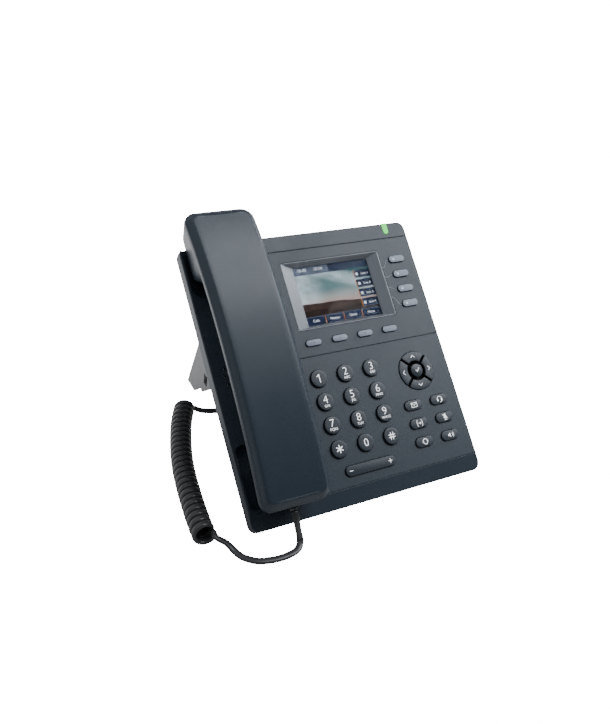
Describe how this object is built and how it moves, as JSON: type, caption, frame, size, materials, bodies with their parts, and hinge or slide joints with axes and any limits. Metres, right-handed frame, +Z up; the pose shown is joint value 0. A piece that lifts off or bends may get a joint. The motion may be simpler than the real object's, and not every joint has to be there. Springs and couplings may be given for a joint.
{
  "type": "desk ip phone",
  "caption": "Desk telephone for a data network: sloping body with colour screen, number pad, arrow ring and function keys, corded handset on the left, clip-on stand behind.",
  "frame": {"origin": "middle of the front rubber strip's underside, on the desk", "axes": "+Z up from the desk, +Y away from the user, +X to the user's right"},
  "size_m": [0.2094, 0.1889, 0.1545],
  "materials": {
    "slate_plastic": "satin slate-blue moulded plastic, fine texture",
    "dark_plastic": "fine texture, near black",
    "handset_plastic": "satin slate-blue moulded plastic",
    "bezel_plastic": "smooth grey",
    "grey_key": "satin blue-grey",
    "dark_key": "satin dark slate with white marks",
    "stand_plastic": "fine texture, mid grey",
    "rubber": "matt",
    "silicone": "matt",
    "board_green": "solder mask",
    "clear_lens": "polished",
    "display": "lit colour display",
    "led_green": "lit green light pipe",
    "steel": "plain",
    "clear_plug": "clear moulded",
    "cord_black": "satin black jacket"
  },
  "bodies": {
    "body": {"front_shell": "slate_plastic", "rear_cover": "dark_plastic", "screen_bezel": "bezel_plastic", "screen_lens": "clear_lens", "lcd_panel": "display", "main_board": "board_green", "keypad_mat": "silicone", "loudspeaker": "steel", "base_microphone": "steel", "led_light_pipe": "led_green", "cord_socket": "dark_plastic", "cord_plug": "clear_plug", "lan_socket": "steel", "pc_socket": "steel", "power_socket": "dark_plastic", "front_foot_strip": "rubber", "cord_tail_handset": "cord_black", "cord_coil": "cord_black", "cord_tail_base": "cord_black"},
    "stand": {"stand": "stand_plastic", "stand_foot_pad": "rubber"},
    "handset": {"handset_top_shell": "handset_plastic", "handset_bottom_shell": "handset_plastic", "receiver_capsule": "steel", "handset_microphone": "steel", "handset_socket": "dark_plastic", "handset_plug": "clear_plug"},
    "hook_switch": {"hook_switch": "dark_plastic"},
    "volume_rocker": {"volume_rocker": "dark_key"},
    "dial_key_1": {"dial_key_1": "dark_key"},
    "dial_key_2": {"dial_key_2": "dark_key"},
    "dial_key_3": {"dial_key_3": "dark_key"},
    "dial_key_4": {"dial_key_4": "dark_key"},
    "dial_key_5": {"dial_key_5": "dark_key"},
    "dial_key_6": {"dial_key_6": "dark_key"},
    "dial_key_7": {"dial_key_7": "dark_key"},
    "dial_key_8": {"dial_key_8": "dark_key"},
    "dial_key_9": {"dial_key_9": "dark_key"},
    "dial_key_star": {"dial_key_star": "dark_key"},
    "dial_key_0": {"dial_key_0": "dark_key"},
    "dial_key_hash": {"dial_key_hash": "dark_key"},
    "soft_key_1": {"soft_key_1": "grey_key"},
    "soft_key_2": {"soft_key_2": "grey_key"},
    "soft_key_3": {"soft_key_3": "grey_key"},
    "soft_key_4": {"soft_key_4": "grey_key"},
    "line_key_1": {"line_key_1": "grey_key"},
    "line_key_2": {"line_key_2": "grey_key"},
    "line_key_3": {"line_key_3": "grey_key"},
    "line_key_4": {"line_key_4": "grey_key"},
    "message_key": {"message_key": "dark_key"},
    "headset_key": {"headset_key": "dark_key"},
    "transfer_key": {"transfer_key": "dark_key"},
    "mute_key": {"mute_key": "dark_key"},
    "redial_key": {"redial_key": "dark_key"},
    "speaker_key": {"speaker_key": "dark_key"},
    "nav_up_key": {"nav_up_key": "dark_key"},
    "nav_right_key": {"nav_right_key": "dark_key"},
    "nav_down_key": {"nav_down_key": "dark_key"},
    "nav_left_key": {"nav_left_key": "dark_key"},
    "ok_key": {"ok_key": "dark_key"}
  },
  "joints": [
    {"name": "handset_lift", "type": "slide", "parent": "body", "child": "handset", "axis": [0, -0.6428, 0.766], "range_m": [0, 0.06]},
    {"name": "hook_travel", "type": "slide", "parent": "body", "child": "hook_switch", "axis": [0, -0.6428, 0.766], "range_m": [0, 0.004], "stiffness_N_per_m": 60, "springref_m": 0.004},
    {"name": "stand_unclip", "type": "slide", "parent": "body", "child": "stand", "axis": [0, -0.766, -0.6428], "range_m": [0, 0.0075]},
    {"name": "volume_rock", "type": "hinge", "parent": "body", "child": "volume_rocker", "pos_m": [0.0031, 0.0029, 0.01889], "axis": [0, 0.766, 0.6428], "range_deg": [-1.5, 1.5], "stiffness_Nm_per_rad": 0.5},
    {"name": "dial_key_1_press", "type": "slide", "parent": "body", "child": "dial_key_1", "axis": [0, 0.6428, -0.766], "range_m": [0, 0.001], "stiffness_N_per_m": 500},
    {"name": "dial_key_2_press", "type": "slide", "parent": "body", "child": "dial_key_2", "axis": [0, 0.6428, -0.766], "range_m": [0, 0.001], "stiffness_N_per_m": 500},
    {"name": "dial_key_3_press", "type": "slide", "parent": "body", "child": "dial_key_3", "axis": [0, 0.6428, -0.766], "range_m": [0, 0.001], "stiffness_N_per_m": 500},
    {"name": "dial_key_4_press", "type": "slide", "parent": "body", "child": "dial_key_4", "axis": [0, 0.6428, -0.766], "range_m": [0, 0.001], "stiffness_N_per_m": 500},
    {"name": "dial_key_5_press", "type": "slide", "parent": "body", "child": "dial_key_5", "axis": [0, 0.6428, -0.766], "range_m": [0, 0.001], "stiffness_N_per_m": 500},
    {"name": "dial_key_6_press", "type": "slide", "parent": "body", "child": "dial_key_6", "axis": [0, 0.6428, -0.766], "range_m": [0, 0.001], "stiffness_N_per_m": 500},
    {"name": "dial_key_7_press", "type": "slide", "parent": "body", "child": "dial_key_7", "axis": [0, 0.6428, -0.766], "range_m": [0, 0.001], "stiffness_N_per_m": 500},
    {"name": "dial_key_8_press", "type": "slide", "parent": "body", "child": "dial_key_8", "axis": [0, 0.6428, -0.766], "range_m": [0, 0.001], "stiffness_N_per_m": 500},
    {"name": "dial_key_9_press", "type": "slide", "parent": "body", "child": "dial_key_9", "axis": [0, 0.6428, -0.766], "range_m": [0, 0.001], "stiffness_N_per_m": 500},
    {"name": "dial_key_star_press", "type": "slide", "parent": "body", "child": "dial_key_star", "axis": [0, 0.6428, -0.766], "range_m": [0, 0.001], "stiffness_N_per_m": 500},
    {"name": "dial_key_0_press", "type": "slide", "parent": "body", "child": "dial_key_0", "axis": [0, 0.6428, -0.766], "range_m": [0, 0.001], "stiffness_N_per_m": 500},
    {"name": "dial_key_hash_press", "type": "slide", "parent": "body", "child": "dial_key_hash", "axis": [0, 0.6428, -0.766], "range_m": [0, 0.001], "stiffness_N_per_m": 500},
    {"name": "soft_key_1_press", "type": "slide", "parent": "body", "child": "soft_key_1", "axis": [0, 0.6428, -0.766], "range_m": [0, 0.001], "stiffness_N_per_m": 500},
    {"name": "soft_key_2_press", "type": "slide", "parent": "body", "child": "soft_key_2", "axis": [0, 0.6428, -0.766], "range_m": [0, 0.001], "stiffness_N_per_m": 500},
    {"name": "soft_key_3_press", "type": "slide", "parent": "body", "child": "soft_key_3", "axis": [0, 0.6428, -0.766], "range_m": [0, 0.001], "stiffness_N_per_m": 500},
    {"name": "soft_key_4_press", "type": "slide", "parent": "body", "child": "soft_key_4", "axis": [0, 0.6428, -0.766], "range_m": [0, 0.001], "stiffness_N_per_m": 500},
    {"name": "line_key_1_press", "type": "slide", "parent": "body", "child": "line_key_1", "axis": [0, 0.6428, -0.766], "range_m": [0, 0.001], "stiffness_N_per_m": 500},
    {"name": "line_key_2_press", "type": "slide", "parent": "body", "child": "line_key_2", "axis": [0, 0.6428, -0.766], "range_m": [0, 0.001], "stiffness_N_per_m": 500},
    {"name": "line_key_3_press", "type": "slide", "parent": "body", "child": "line_key_3", "axis": [0, 0.6428, -0.766], "range_m": [0, 0.001], "stiffness_N_per_m": 500},
    {"name": "line_key_4_press", "type": "slide", "parent": "body", "child": "line_key_4", "axis": [0, 0.6428, -0.766], "range_m": [0, 0.001], "stiffness_N_per_m": 500},
    {"name": "message_key_press", "type": "slide", "parent": "body", "child": "message_key", "axis": [0, 0.6428, -0.766], "range_m": [0, 0.001], "stiffness_N_per_m": 500},
    {"name": "headset_key_press", "type": "slide", "parent": "body", "child": "headset_key", "axis": [0, 0.6428, -0.766], "range_m": [0, 0.001], "stiffness_N_per_m": 500},
    {"name": "transfer_key_press", "type": "slide", "parent": "body", "child": "transfer_key", "axis": [0, 0.6428, -0.766], "range_m": [0, 0.001], "stiffness_N_per_m": 500},
    {"name": "mute_key_press", "type": "slide", "parent": "body", "child": "mute_key", "axis": [0, 0.6428, -0.766], "range_m": [0, 0.001], "stiffness_N_per_m": 500},
    {"name": "redial_key_press", "type": "slide", "parent": "body", "child": "redial_key", "axis": [0, 0.6428, -0.766], "range_m": [0, 0.001], "stiffness_N_per_m": 500},
    {"name": "speaker_key_press", "type": "slide", "parent": "body", "child": "speaker_key", "axis": [0, 0.6428, -0.766], "range_m": [0, 0.001], "stiffness_N_per_m": 500},
    {"name": "nav_up_key_press", "type": "slide", "parent": "body", "child": "nav_up_key", "axis": [0, 0.6428, -0.766], "range_m": [0, 0.001], "stiffness_N_per_m": 500},
    {"name": "nav_right_key_press", "type": "slide", "parent": "body", "child": "nav_right_key", "axis": [0, 0.6428, -0.766], "range_m": [0, 0.001], "stiffness_N_per_m": 500},
    {"name": "nav_down_key_press", "type": "slide", "parent": "body", "child": "nav_down_key", "axis": [0, 0.6428, -0.766], "range_m": [0, 0.001], "stiffness_N_per_m": 500},
    {"name": "nav_left_key_press", "type": "slide", "parent": "body", "child": "nav_left_key", "axis": [0, 0.6428, -0.766], "range_m": [0, 0.001], "stiffness_N_per_m": 500},
    {"name": "ok_key_press", "type": "slide", "parent": "body", "child": "ok_key", "axis": [0, 0.6428, -0.766], "range_m": [0, 0.001], "stiffness_N_per_m": 500}
  ],
  "couplings": [
    {"joint": "hook_travel", "follows": "handset_lift", "ratio": 0.0666}
  ]
}
